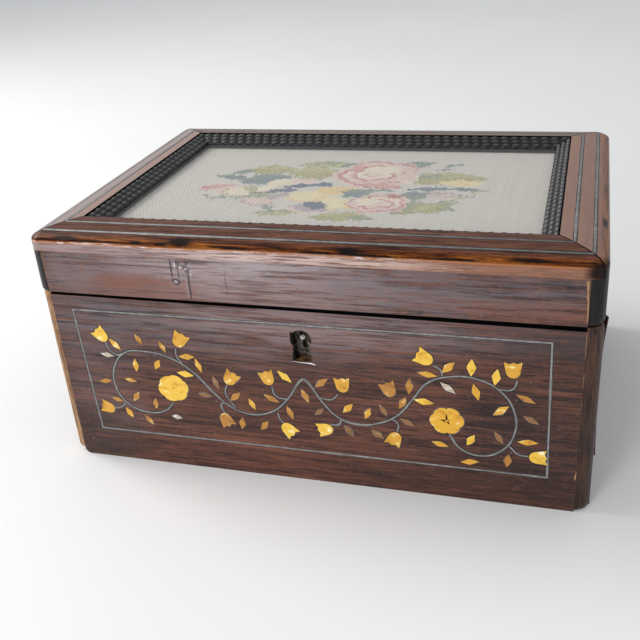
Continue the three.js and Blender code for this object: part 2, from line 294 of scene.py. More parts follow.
frameTones = dict(dark=(0.028, 0.009, 0.006), mid=(0.1, 0.037, 0.021), light=(0.175, 0.069, 0.041),
                  rough=0.34, coat=0.04, ior=1.22)
# Arris: its height, and the tone and half width of the painted highlight along it
arris = dict(height=5.2 * mm, tone=(0.66, 0.53, 0.49), half=0.34 * mm)


def frameWood(name, along, seed, side, knots=(), amber=1.0, edgeFrom=(0.16, 0.1, 0.085),
              edgeTo=(0.16, 0.1, 0.085), veil=(0.2, 0.14, 0.12), share=0.0, paintedHighlight=(), sheen=None,
              strips=()):
    mat, nt, shader = newMaterial(name)
    color, grain = woodColor(nt, frameTones, along, seed)
    bands, streak = grain["bands"], grain["streak"]
    # Painted reflection: the whole member is mixed toward the veil tone by share, a different amount on
    # each side
    color = blendColor(nt, share, color, veil)
    inset = insetFrom(nt, side)
    for nearEnd, farEnd, tone, strength in strips:
        begins = mask(nt, inset, nearEnd - mm, nearEnd + mm)
        ends = mask(nt, inset, farEnd + mm, farEnd - mm)
        strip = times(nt, times(nt, begins, ends), times(nt, mask(nt, bands, 0.3, 0.6), strength))
        color = blendColor(nt, strip, color, tone)
    wander = times(nt, maths(nt, "SUBTRACT", bands, 0.5), 0.003)
    level = plus(nt, axisValue(nt, "Z"), wander)
    edge = frameBase + arris["height"]
    inside = times(nt, mask(nt, level, edge + 3.6 * mm, edge + 1.6 * mm), amber)
    rich = ramp(nt, bands, [(0.41, (0.022, 0.004, 0.001)), (0.49, (0.14, 0.033, 0.003)),
                            (0.6, (0.4, 0.125, 0.011))])
    lines = times(nt, mask(nt, streak, 0.5, 0.58), 0.8)
    color = blendColor(nt, inside, color, blendColor(nt, lines, rich, (0.03, 0.008, 0.002)))
    turnedOver = times(nt, mask(nt, level, edge + 0.5 * mm, edge - 0.2 * mm), amber)
    color = blendColor(nt, turnedOver, color, (0.38, 0.15, 0.06))
    # Painted sheen: the upright face below the arris is painted pale pink to brown, its tone with the sheen
    # of light on it
    pale = blendColor(nt, mask(nt, axisValue(nt, along), -0.06, 0.09), edgeFrom, edgeTo)
    pale = blendColor(nt, times(nt, mask(nt, streak, 0.46, 0.6), 0.6), pale, (0.12, 0.07, 0.06))
    below = mask(nt, level, edge - 0.2 * mm, edge - 1.3 * mm)
    faded = mask(nt, level, frameBase - 0.6 * mm, frameBase + 1.8 * mm)
    below = times(nt, below, plus(nt, times(nt, faded, 0.2), 0.76))
    color = blendColor(nt, below, color, pale)
    if sheen:
        centre, radii, tone, strength = sheen
        glow = times(nt, spot(nt, centre, radii, 1.2, 0.3, seed), strength)
        glow = times(nt, glow, mask(nt, streak, 0.6, 0.46))
        color = blendColor(nt, times(nt, glow, below), color, tone)
    onArris = maths(nt, "COMPARE", level, edge - 0.35 * mm, arris["half"])
    # Painted highlight: broken pale patches along the arris
    for centre, reach, stretch, low, high in paintedHighlight:
        patchy = mask(nt, noise(nt, grainVector(nt, along, stretch), 620, 4, 0.65), low, high)
        near = times(nt, spot(nt, centre, (reach, 0.02, 0.02), 0.9), patchy)
        color = blendColor(nt, times(nt, near, onArris), color, arris["tone"])
    for centre, radii, rough in knots:
        dark = times(nt, spot(nt, centre, radii, 0.9, rough, seed), 0.97)
        color = blendColor(nt, dark, color, (0.004, 0.0015, 0.001))
    half = halfWidth if along == "X" else halfDepth
    fromEnd = maths(nt, "SUBTRACT", half, maths(nt, "ABSOLUTE", axisValue(nt, along)))
    mitre = maths(nt, "SUBTRACT", fromEnd, inset)
    gap = maths(nt, "MAXIMUM", mask(nt, mitre, 0.75 * mm, 0.4 * mm), mask(nt, inset, 21.5 * mm, 21.7 * mm))
    color = blendColor(nt, gap, color, (0.002, 0.0015, 0.0015))
    polish = times(nt, mask(nt, level, edge + 1.8 * mm, edge + 0.4 * mm), 0.2)
    return finishWood(mat, nt, shader, color, frameTones, grain, polish=polish)


print("frame loaded:", len(nodes), "nodes")


# Materials of the boards

frontBoardWood = frontWood(
    "rosewood_front", 1.3,
    # the grey and pink veils are painted sheen of light on the finish
    veils=[(-55, 88, 100, 20, "grey", 0.6),
           (5, 92, 70, 12, "pink", 0.6),
           (90, 93, 60, 10, "grey", 0.4),
           (-112, 50, 22, 45, "grey", 0.35),
           (0, 14, 120, 12, "warm", 0.34),
           (-30, 50, 90, 22, "warm", 0.25),
           (-112, 0.5, 14, 1.2, "gold", 0.9),
           (-122, 10, 30, 18, "brown", 0.8),
           (92, 12, 60, 16, "brown", 0.5),
           (128, 40, 35, 60, "brown", 0.6)],
    # the last row paints the shade inside the keyhole
    stainsAndPaintedLight=[(1.25, 71.3, 6, 1.4, "gold", 0.8, 0.3, 3.2, 2.5),
            (2.4, 71.3, 2.2, 1.2, "rust", 0.85, 0.8, 2.4, 1.2),
            (-4.2, 79, 3.5, 11, "hollowShade", 1.0, 0.2, 4.8, 3.8)],
    mottle=0.14)
lidBandWood = frontWood(
    "rosewood_lid_front", 4.1,
    # the pale, pink, grey and dusk veils are painted sheen of light on the finish
    veils=[(-30, 117, 86, 12, "pale", 0.92),
           (-20, 106, 90, 10, "pink", 0.65),
           (-100, 113, 40, 12, "pink", 0.36),
           (-112, 108, 20, 4, "pale", 0.2),
           (-108, 112, 34, 15, "dusk", 0.5),
           (-84, 110, 20, 4, "warm", 0.6),
           (75, 113, 70, 11, "grey", 0.7),
           (-80, 106, 30, 6, "warm", 0.6),
           (110, 106, 30, 5, "warm", 0.5)],
    # the pale and glint marks among the ink scratches are painted highlights
    stainsAndPaintedLight=[(-61.7, 117.5, 0.5, 6.2, "ink", 0.8, 0.8),
            (-58.2, 115.5, 0.4, 3.6, "ink", 0.7, 0.9),
            (-60, 110.8, 2.3, 1.8, "ink", 0.75, 0.3),
            (-60.2, 110.8, 1.2, 0.9, "pale", 0.8, 0.3),
            (-54.5, 108.5, 0.8, 6, "pink", 0.6, 0.6),
            (-53.2, 109, 0.6, 7.5, "ink", 0.75, 0.6),
            (-57.8, 120.4, 1.2, 2.1, "ink", 0.6, 1.3),
            (-55.4, 119.3, 1.7, 1, "ink", 0.6, 1.4),
            (-53.4, 120.6, 0.9, 1.7, "ink", 0.6, 1.2),
            (-56.7, 118.6, 0.8, 0.6, "glint", 0.8, 0.8),
            (-54.2, 117.9, 0.7, 0.5, "glint", 0.8, 0.8),
            (-59.6, 119.6, 0.5, 1.6, "glint", 0.7, 1.2),
            (-51.6, 116.2, 0.4, 2, "glint", 0.6, 1.2),
            (-53.2, 116.9, 1.4, 1.1, "ink", 0.6, 1.5),
            (-34, 112, 0.3, 6, "ink", 0.5, 0.8)],
    mottle=0.38)

nodeFinish = {"front_board": frontBoardWood, "lid_front_band": lidBandWood}
boardSeeds = {"right_board": 2.2, "left_board": 5.5, "back_board": 6.1,
              "lid_right_band": 7.7, "lid_left_band": 3.9, "lid_back_band": 8.3}
for name, seed in boardSeeds.items():
    side = name.replace("lid_", "").split("_")[0]
    nodeFinish[name] = plainWood("rosewood_" + name, "rosewood", "X" if side == "back" else "Y", seed, side)
nodeFinish["front_right_post"] = plainWood("post_red_dark", "redPost", "Z", 2.7)
for name in ("back_left_post", "back_right_post"):
    nodeFinish[name] = nodeFinish["front_right_post"]
lidPostWood = plainWood("post_black", "darkPost", "Z", 1.9)
for name in ("lid_front_left_post", "lid_front_right_post", "lid_back_left_post", "lid_back_right_post"):
    nodeFinish[name] = lidPostWood


def bareWood():
    mat, nt, shader = newMaterial("bare_golden_wood")
    color, grain = woodColor(nt, woodKinds["bare"], "Z", 3.3)
    dirt = mask(nt, noise(nt, place(nt), 90, 5, 0.7), 0.5, 0.68)
    color = blendColor(nt, times(nt, dirt, 0.5), color, (0.1, 0.05, 0.028))
    return finishWood(mat, nt, shader, color, woodKinds["bare"], grain, 0.00012)


barePostWood = bareWood()
nodeFinish["front_left_post"] = barePostWood
nodeFinish["bottom_board"] = plainWood("carcass_bottom", "carcass", "X", 0.8, bumpSize=0.0001)
nodeFinish["lid_lining_board"] = plainWood("carcass_lining", "carcass", "X", 9.2, bumpSize=0.0001)


def onTop(x, y, above=7.0):
    return (x * mm, y * mm, frameBase + above * mm)


# Radii in millimetres
def knot(x, y, above, radii, rough):
    return (onTop(x, y, above), tuple(radius * mm for radius in radii), rough)


nodeFinish["lid_frame_front"] = frameWood(
    "frame_wood_front", "X", 2.4, "front", edgeFrom=(0.34, 0.255, 0.262), edgeTo=(0.3, 0.145, 0.095),
    paintedHighlight=[(onTop(-62, -99, 5), 0.06, 0.12, 0.4, 0.6), (onTop(-102, -99, 5), 0.04, 0.35, 0.52, 0.62),
            (onTop(16, -99, 5), 0.036, 0.3, 0.46, 0.58)],
    sheen=(onTop(2, -99, 2.5), (0.06, 0.02, 0.0036), (0.66, 0.51, 0.45), 0.8),
    knots=[knot(-56, -98, 7.6, (6, 5, 1.7), 0.35), knot(-66, -98, 6.4, (3.5, 4, 0.7), 0.5),
           knot(-79, -98, 6.6, (3, 4, 0.6), 0.5), knot(27, -98, 7.0, (5.2, 5, 1.4), 0.35),
           knot(36, -98, 6.0, (13, 4, 0.6), 0.5), knot(12, -98, 6.1, (8, 4, 0.5), 0.5),
           knot(108, -98, 6.8, (9, 4, 0.7), 0.4), knot(75, -98, 6.0, (12, 4, 0.4), 0.5),
           knot(-118, -98, 7.3, (6, 4, 0.5), 0.5), knot(-30, -98, 6.2, (10, 4, 0.4), 0.6),
           knot(136.5, -97, 3, (5.8, 9, 4.5), 0.25), knot(-140, -94, 5, (2.8, 6, 6), 0.3)])
# The side members carry a painted reflection, veil and share, stronger on the left than on the back
nodeFinish["lid_frame_right"] = frameWood(
    "frame_wood_right", "Y", 5.2, "right", amber=0.7, veil=(0.4, 0.24, 0.185), share=0.58,
    strips=[(0.5 * mm, 4.5 * mm, (0.42, 0.18, 0.085), 0.7)],
    knots=[knot(140, -94, 2.5, (4, 7.5, 5), 0.25), knot(138, -52, 7.5, (2, 6, 1), 0.4)])
nodeFinish["lid_frame_back"] = frameWood(
    "frame_wood_back", "X", 6.6, "back", amber=0.5, veil=(0.3, 0.24, 0.22), share=0.45)
nodeFinish["lid_frame_left"] = frameWood(
    "frame_wood_left", "Y", 8.8, "left", amber=0.3, veil=(0.48, 0.42, 0.41), share=0.6,
    strips=[(16.2 * mm, 23 * mm, (0.36, 0.21, 0.155), 0.75)],
    knots=[knot(-139, -94, 3, (4, 7, 5.5), 0.3)])


def ebonisedWood(name, paintedHighlight):
    mat, nt, shader = newMaterial(name)
    crest = addNode(nt, "ShaderNodeVertexColor", layer_name="crest")
    # Painted highlight: the crests, weighted by the crest vertex colour, are painted toward the lighter
    # tone given for each side, and the grey dust is mixed in more there too
    worn = maths(nt, "POWER", axisValue(nt, "X", crest.outputs["Color"]), 1.8)
    dust = mask(nt, noise(nt, place(nt), 260, 5, 0.65), 0.45, 0.7)
    color = blendColor(nt, worn, (0.002, 0.002, 0.0025), paintedHighlight)
    settled = times(nt, dust, plus(nt, 0.08, times(nt, worn, 0.3)))
    color = blendColor(nt, settled, color, (0.08, 0.076, 0.072))
    rough = plus(nt, 0.36, times(nt, dust, 0.25))
    fine = bump(nt, noise(nt, place(nt), 3200, 2, 0.5), 0.35, 0.00005)
    fill(nt, shader, Base_Color=color, Roughness=rough, Normal=fine, IOR=1.42)
    return mat


# Painted highlight on the crests, lighter on some sides than on others
rippleCrestHighlight = {"front": (0.085, 0.082, 0.08), "right": (0.24, 0.23, 0.225), "back": (0.08, 0.077, 0.075),
              "left": (0.15, 0.144, 0.14)}
ebonised = {side: ebonisedWood("ebonised_ripple_" + side, tone) for side, tone in rippleCrestHighlight.items()}


def clearGlass():
    mat, nt, shader = newMaterial("old_clear_glass")
    wave = bump(nt, noise(nt, place(nt), 22, 2, 0.5), 0.15, 0.0006)
    fill(nt, shader, Base_Color=(0.86, 0.88, 0.88, 1), Roughness=0.03, IOR=1.5, Alpha=0.08, Normal=wave)
    return mat


nodeFinish["glass_pane"] = clearGlass()


def tarnishedSteel(name, tone, dullness):
    mat, nt, shader = newMaterial(name)
    spots = mask(nt, noise(nt, place(nt), 430, 4, 0.6), 0.42, 0.62)
    color = blendColor(nt, spots, tone, (0.055, 0.04, 0.026))
    rough = plus(nt, dullness, times(nt, spots, 0.3))
    pitted = bump(nt, noise(nt, place(nt), 1600, 4, 0.6), 0.5, 0.0002)
    fill(nt, shader, Base_Color=color, Roughness=rough, Normal=pitted, Metallic=0.85)
    return mat


nodeFinish["lock_case"] = tarnishedSteel("lock_steel_tarnished", (0.22, 0.195, 0.175), 0.42)
nodeFinish["lock_pin"] = tarnishedSteel("lock_pin_steel", (0.62, 0.6, 0.57), 0.25)


def pewterLine():
    mat, nt, shader = newMaterial("pewter_string")
    age = noise(nt, place(nt), 240, 5, 0.7)
    color = ramp(nt, age, [(0.34, (0.15, 0.147, 0.14)), (0.5, (0.22, 0.218, 0.208)),
                           (0.68, (0.33, 0.325, 0.31))])
    rough = plus(nt, 0.38, times(nt, age, 0.25))
    scuffed = bump(nt, noise(nt, place(nt), 1500, 3, 0.6), 0.5, 0.00012)
    fill(nt, shader, Base_Color=color, Roughness=rough, Normal=scuffed, Metallic=0.25)
    return mat


pewter = pewterLine()


def pearlShell(name, deep, bright, flash):
    mat, nt, shader = newMaterial(name)
    cells = noise(nt, place(nt, scale=(1, 1, 1.4)), 150, 2, 0.5, 0.5)
    color = ramp(nt, cells, [(0.3, deep), (0.47, bright), (0.6, bright), (0.68, flash)])
    cracks = mask(nt, noise(nt, place(nt, scale=(1, 1, 0.4)), 900, 3, 0.6, 0.8), 0.62, 0.72)
    color = blendColor(nt, times(nt, cracks, 0.25), color, (0.2, 0.09, 0.02))
    rough = plus(nt, 0.16, times(nt, cells, 0.3))
    fill(nt, shader, Base_Color=color, Roughness=rough, Normal=bump(nt, cells, 0.3, 0.00015),
         Coat_Weight=0.3, Coat_Roughness=0.1)
    return mat


pearls = {
    "gold": pearlShell("pearl_gold", (0.46, 0.19, 0.008), (0.7, 0.35, 0.02), (0.92, 0.7, 0.26)),
    "bright": pearlShell("pearl_bright", (0.62, 0.31, 0.01), (0.86, 0.53, 0.045), (1.0, 0.88, 0.5)),
    "orange": pearlShell("pearl_orange", (0.56, 0.24, 0.006), (0.76, 0.4, 0.016), (0.95, 0.7, 0.24)),
    "amber": pearlShell("pearl_amber", (0.3, 0.115, 0.01), (0.47, 0.2, 0.02), (0.7, 0.44, 0.14)),
    "dull": pearlShell("pearl_dull", (0.15, 0.06, 0.018), (0.26, 0.12, 0.038), (0.42, 0.27, 0.12)),
    "silver": pearlShell("pearl_silver", (0.34, 0.24, 0.15), (0.52, 0.42, 0.33), (0.86, 0.82, 0.78)),
    "white": pearlShell("pearl_white", (0.5, 0.49, 0.48), (0.8, 0.79, 0.77), (0.95, 0.95, 0.95)),
}


# Painted shade: a near-black finish for the hollows of the cracks in a flower and of the splintered keyhole
# edge
def hollowShadeMaterial():
    mat, nt, shader = newMaterial("painted_hollow_shade")
    tone = noise(nt, place(nt), 1200, 3, 0.6)
    color = ramp(nt, tone, [(0.35, (0.001, 0.001, 0.001)), (0.7, (0.01, 0.006, 0.004))])
    fill(nt, shader, Base_Color=color, Roughness=0.85, Specular_IOR_Level=0.2)
    return mat


hollowShade = hollowShadeMaterial()


def darkMastic():
    mat, nt, shader = newMaterial("dark_mastic")
    tone = noise(nt, place(nt), 900, 3, 0.6)
    color = ramp(nt, tone, [(0.3, (0.008, 0.008, 0.011)), (0.7, (0.03, 0.028, 0.036))])
    chalky = mask(nt, noise(nt, place(nt), 55, 3, 0.6), 0.5, 0.64)
    color = blendColor(nt, times(nt, chalky, 0.6), color, (0.17, 0.155, 0.165))
    fill(nt, shader, Base_Color=color, Roughness=0.6)
    return mat


mastic = darkMastic()

for name, mat in nodeFinish.items():
    nodes[name].data.materials.clear()
    nodes[name].data.materials.append(mat)
print("finishes assigned:", len(nodeFinish))


# New pieces

def newObject(name, data):
    obj = bpy.data.objects.new(name, data)
    bpy.context.scene.collection.objects.link(obj)
    return obj


def addPiece(name, mesh, mat, smooth=True):
    mesh.materials.append(mat)
    mesh.polygons.foreach_set("use_smooth", [smooth] * len(mesh.polygons))
    piece = newObject(name, mesh)
    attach(piece, "root")
    return piece


def meshFrom(bm, name):
    bmesh.ops.recalc_face_normals(bm, faces=bm.faces)
    mesh = bpy.data.meshes.new(name)
    bm.to_mesh(mesh)
    bm.free()
    return mesh


# A skirt from the open edge down to one level, and the face that closes it
def closeBelow(bm, level):
    skirt = bmesh.ops.extrude_edge_only(bm, edges=[edge for edge in bm.edges if edge.is_boundary])
    for vert in skirt["geom"]:
        if isinstance(vert, bmesh.types.BMVert):
            vert.co.z = level
    bmesh.ops.contextual_create(bm, geom=[edge for edge in bm.edges if edge.is_boundary])


# Strings are flattened wires let into the wood: a curve with a round section, pressed flat

def wire(name, routes, width, closed=False, smooth=True):
    data = bpy.data.curves.new(name, "CURVE")
    data.dimensions = "3D"
    data.bevel_depth = width / 2
    data.bevel_resolution = 2
    data.use_fill_caps = True
    data.resolution_u = 10
    for route in routes:
        spline = data.splines.new("BEZIER" if smooth else "POLY")
        if smooth:
            spline.bezier_points.add(len(route) - 1)
            for point, co in zip(spline.bezier_points, route):
                point.co = co
                point.handle_left_type = "AUTO"
                point.handle_right_type = "AUTO"
        else:
            spline.points.add(len(route) - 1)
            for point, co in zip(spline.points, route):
                point.co = (*co, 1)
        spline.use_cyclic_u = closed
    obj = newObject(name, data)
    bpy.context.view_layer.update()
    mesh = bpy.data.meshes.new_from_object(obj.evaluated_get(bpy.context.evaluated_depsgraph_get()))
    bpy.data.objects.remove(obj)
    bm = bmesh.new()
    bm.from_mesh(mesh)
    bmesh.ops.remove_doubles(bm, verts=bm.verts, dist=0.001 * mm)
    return meshFrom(bm, name)


inlay = dict(vineLine=0.95 * mm, stalkLine=0.85 * mm, stringLine=1.25 * mm, groove=0.8 * mm, pressed=0.16,
             grooveDepth=0.03)


def pressFlat(mesh, axis, plane, share):
    squeeze = [1, 1, 1]
    squeeze[axis] = share
    mesh.transform(Matrix.Diagonal((*squeeze, 1)))
    level = Vector((0, 0, 0))
    level[axis] = plane
    mesh.transform(Matrix.Translation(level))


# A string on the front and the dark groove that shows on both sides of it
def inlaidString(name, routes, width, closed=False, smooth=True):
    groove = wire(name + "_groove", routes, width + inlay["groove"], closed, smooth)
    pressFlat(groove, 1, frontY, inlay["grooveDepth"])
    addPiece(name + "_groove", groove, mastic, smooth)
    string = wire(name, routes, width, closed, smooth)
    pressFlat(string, 1, frontY, inlay["pressed"])
    addPiece(name, string, pewter, smooth)


def onPlane(points):
    return [(x * mm, 0, z * mm) for x, z in points]


# Border string of the front: four straight lines with mitred corners, in millimetres
borderCorners = {"topLeft": (-121.4, 91.4), "topRight": (118.4, 91.9), "bottomRight": (119.5, 18.5),
                 "bottomLeft": (-118.6, 18.6)}
border = onPlane(borderCorners.values())
inlaidString("front_border_string", [border], inlay["stringLine"], closed=True, smooth=False)


# Vine: one long scroll each side of the peak, in millimetres on the front
vineLeft = [(-72.8, 39.7), (-77.5, 34.6), (-88.5, 32.1), (-100.1, 36.7), (-105.4, 48.0), (-103.0, 60.2),
            (-95.5, 68.3), (-85.4, 69.8), (-70.5, 67.2), (-58.0, 59.4), (-48.5, 48.5), (-39.5, 40.6),
            (-28.5, 37.5), (-17.0, 40.8), (-7.5, 50.2), (-1.6, 59.6), (0.9, 61.9)]
vineRight = [(1.0, 61.8), (3.4, 59.4), (10.1, 48.8), (18.1, 40.6), (28.0, 38.0), (38.4, 40.1),
             (47.6, 45.6), (55.2, 55.6), (63.0, 66.0), (73.5, 70.2), (85.0, 70.2), (96.0, 65.0),
             (103.0, 54.5), (103.4, 41.0), (97.5, 31.0), (88.0, 27.0), (78.0, 30.2), (72.9, 37.7)]
stems = [
    [(-106.2, 73.6), (-104.4, 68.8), (-100.5, 66.3), (-97.6, 67.2)],
    [(-66.4, 73.0), (-66.4, 68.6), (-64.0, 64.8)],
    [(-108.4, 32.6), (-104.4, 33.6), (-101.4, 36.6)],
    [(-40.4, 54.6), (-42.0, 49.0), (-37.4, 40.6)],
    [(-44.0, 36.6), (-45.2, 41.6), (-43.0, 43.4)],
    [(-16.2, 55.8), (-14.6, 50.2), (-8.6, 48.8)],
    [(-14.6, 39.9), (-13.2, 35.6), (-10.4, 33.2)],
    [(18.2, 54.6), (14.6, 51.2), (8.8, 51.4)],
    [(13.0, 36.2), (17.6, 36.8), (19.0, 40.2)],
    [(47.2, 36.0), (47.8, 40.4), (44.8, 43.4)],
    [(65.4, 75.4), (68.6, 73.6), (69.6, 70.4)],
    [(104.0, 71.0), (102.0, 66.2), (95.6, 65.4)],
    [(110.4, 29.6), (106.0, 30.0), (101.6, 34.0)],
]
inlaidString("front_vine", [onPlane(vineLeft), onPlane(vineRight)], inlay["vineLine"])
inlaidString("front_vine_stems", [onPlane(stem) for stem in stems], inlay["stalkLine"])


# Pearl shapes: an outline in the plane, raised a hair, with softened edges, in a bed of dark mastic
pearlShape = dict(rise=0.12 * mm, depth=0.25 * mm, edge=0.06 * mm, bed=0.5, bedRise=0.035 * mm,
                  bedDepth=0.1 * mm)


def plate(bm, outline, centre, turn, rise, depth):
    c, s = math.cos(math.radians(turn)), math.sin(math.radians(turn))
    ring = []
    for x, z in outline:
        px = centre[0] + x * c - z * s
        pz = centre[1] + x * s + z * c
        ring.append(bm.verts.new((px * mm, frontY - rise, pz * mm)))
    top = bm.faces.new(ring)
    back = bmesh.ops.extrude_face_region(bm, geom=[top])
    moved = [v for v in back["geom"] if isinstance(v, bmesh.types.BMVert)]
    bmesh.ops.translate(bm, verts=moved, vec=(0, depth, 0))
    return top


def spread(outline, margin):
    grown = []
    for x, z in outline:
        away = math.hypot(x, z)
        grown.append((x * (away + margin) / away, z * (away + margin) / away))
    return grown


def leafOutline(length, width, sway):
    half, side = length / 2, width / 2
    return [(-half, 0), (-half * 0.45, -side * 0.66), (sway, -side), (half * 0.5, -side * 0.54),
            (half, 0), (half * 0.45, side * 0.66), (-sway, side), (-half * 0.5, side * 0.54)]


def tulipOutline(size):
    body = [(0.37 * size * math.sin(a), -0.08 * size - 0.42 * size * math.cos(a))
            for a in (math.radians(t) for t in range(-75, 76, 25))]
    return body + [(0.45 * size, 0.44 * size), (0.2 * size, 0.33 * size), (0.02 * size, 0.42 * size),
                   (-0.18 * size, 0.31 * size), (-0.45 * size, 0.42 * size)]


def flowerOutline(radius, notch, lobes=6, around=72):
    shape = []
    for i in range(around):
        a = 2 * math.pi * i / around
        r = radius * (1 - notch + notch * abs(math.cos(lobes * a / 2)) ** 0.6 + 0.02 * math.sin(2 * a + 1))
        shape.append((r * math.cos(a), r * math.sin(a) * 0.95))
    return shape


# centre x, centre z, direction of the leaf in degrees, length, width, shell
leaves = [
    (-100.7, 72.6, -48, 9.5, 4.2, "gold"), (-106.4, 65.9, -8, 8.6, 3.4, "silver"),
    (-86.5, 76.5, -62, 8.6, 3.8, "amber"), (-73.7, 73.4, -65, 8.2, 3.6, "amber"),
    (-90.9, 61.0, 88, 8.6, 4.2, "gold"), (-78.3, 62.5, 62, 7.4, 4.4, "gold"),
    (-110.7, 49.5, 8, 8.2, 3.6, "amber"), (-95.6, 51.5, -10, 8.2, 3.6, "amber"),
    (-63.1, 58.3, -8, 10.0, 4.6, "bright"), (-60.8, 68.8, 2, 9.6, 4.2, "gold"),
    (-55.0, 64.2, -72, 9.2, 3.8, "gold"), (-105.7, 38.4, -16, 7.6, 3.4, "amber"),
    (-94.0, 41.4, 55, 8.0, 4.4, "amber"), (-83.1, 38.3, 86, 7.2, 4.0, "amber"),
    (-99.9, 30.6, -62, 7.8, 4.2, "gold"), (-88.9, 27.4, -52, 8.2, 3.8, "amber"),
    (-71.9, 31.0, -8, 6.8, 3.6, "silver"), (-46.7, 55.0, -72, 9.4, 3.6, "dull"),
    (-53.6, 46.7, -8, 8.2, 3.4, "dull"), (-36.7, 47.5, 42, 8.8, 4.6, "amber"),
    (-28.0, 43.9, -66, 8.0, 3.8, "gold"), (-17.0, 48.4, -26, 9.6, 4.2, "amber"),
    (-8.9, 62.1, -42, 10.2, 4.4, "bright"), (1.0, 51.8, -68, 9.4, 4.0, "amber"),
    (-7.8, 41.0, -70, 9.4, 4.0, "amber"), (-34.7, 31.4, 80, 8.4, 4.4, "amber"),
    (-22.4, 31.4, 52, 8.0, 4.4, "amber"), (10.0, 60.5, 38, 9.2, 4.4, "amber"),
    (7.8, 43.3, 40, 7.4, 3.8, "dull"), (22.7, 47.0, 46, 8.4, 4.4, "gold"),
    (32.7, 45.2, 66, 7.8, 4.0, "gold"), (40.7, 47.6, -60, 8.6, 3.6, "dull"),
    (22.7, 33.6, -54, 8.4, 4.2, "dull"), (50.3, 53.2, 62, 8.4, 4.2, "amber"),
    (53.8, 62.9, 86, 9.6, 4.6, "amber"), (60.7, 55.1, -8, 10.6, 4.4, "bright"),
    (62.6, 70.4, -8, 10.2, 3.8, "gold"), (72.4, 75.1, 46, 9.2, 4.8, "gold"),
    (72.2, 63.9, -38, 10.0, 4.0, "silver"), (83.1, 76.0, 88, 10.0, 5.4, "bright"),
    (85.3, 63.0, -74, 10.0, 4.6, "gold"), (94.4, 72.0, 82, 9.6, 5.0, "bright"),
    (108.2, 61.6, -24, 10.4, 3.8, "amber"), (97.0, 54.0, 38, 9.8, 4.6, "gold"),
    (110.9, 50.3, -28, 9.2, 3.8, "dull"), (52.3, 42.2, -28, 9.2, 4.0, "dull"),
    (37.3, 33.4, -36, 8.6, 4.4, "dull"), (68.2, 31.5, -14, 9.0, 3.8, "gold"),
    (83.1, 35.6, 60, 7.8, 4.6, "bright"), (96.3, 38.7, -58, 8.8, 3.8, "dull"),
    (109.9, 37.6, 2, 10.6, 4.0, "gold"), (82.8, 22.8, 8, 9.6, 4.0, "gold"),
    (100.8, 25.9, 84, 8.2, 4.8, "amber"),
]
# centre x, centre z, direction the cup opens (0 is up, positive to the left), size, shell
tulips = [
    (-108.2, 77.8, 40, 10.0, "bright"), (-63.2, 78.6, -30, 10.6, "gold"), (-112.9, 32.7, 74, 9.6, "gold"),
    (-38.0, 58.5, -34, 10.2, "gold"), (-43.4, 32.2, 202, 10.0, "amber"), (-18.2, 60.7, 16, 9.8, "gold"),
    (-9.2, 30.2, 222, 10.2, "bright"), (9.8, 32.9, 104, 9.8, "bright"), (20.6, 60.5, 4, 9.8, "gold"),
    (43.6, 60.5, 20, 9.8, "amber"), (45.6, 31.3, 158, 9.8, "gold"), (60.8, 79.3, 62, 10.4, "bright"),
    (101.9, 76.7, 2, 10.0, "gold"), (115.2, 29.5, -86, 9.8, "bright"),
]
# centre x, centre z, radius, turn, depth of the notches between its petals, shell
flowers = [(-71.3, 48.9, 8.6, 12, 0.1, "bright"), (71.6, 45.4, 8.2, 2, 0.13, "orange")]

leafFit = (0.95, 0.86)  # share of the length and of the width
tulipFit = 0.92
random.seed(11)
shellsByKind = {}
for x, z, turn, length, width, shell in leaves:
    outline = leafOutline(length * leafFit[0], width * leafFit[1], random.uniform(-0.4, 0.4))
    shellsByKind.setdefault(shell, []).append((outline, (x, z), turn))
for x, z, turn, size, shell in tulips:
    shellsByKind.setdefault(shell, []).append((tulipOutline(size * tulipFit), (x, z), turn))
for x, z, radius, turn, notch, shell in flowers:
    shellsByKind.setdefault(shell, []).append((flowerOutline(radius, notch), (x, z), turn))

beds = bmesh.new()
for shell, shapes in shellsByKind.items():
    bm = bmesh.new()
    tops = []
    for outline, centre, turn in shapes:
        tops.append(plate(bm, outline, centre, turn, pearlShape["rise"], pearlShape["depth"]))
        bed = spread(outline, pearlShape["bed"])
        plate(beds, bed, centre, turn, pearlShape["bedRise"], pearlShape["bedDepth"])
    rims = list({edge for face in tops for edge in face.edges})
    bmesh.ops.bevel(bm, geom=rims, offset=pearlShape["edge"], affect="EDGES", segments=2, profile=0.5,
                    material=-1)
    name = "pearl_inlay_" + shell
    addPiece(name, meshFrom(bm, name), pearls[shell], smooth=False)
addPiece("pearl_beds", meshFrom(beds, "pearl_beds"), mastic, smooth=False)
print("front inlay:", len(leaves), "leaves,", len(tulips), "tulips")


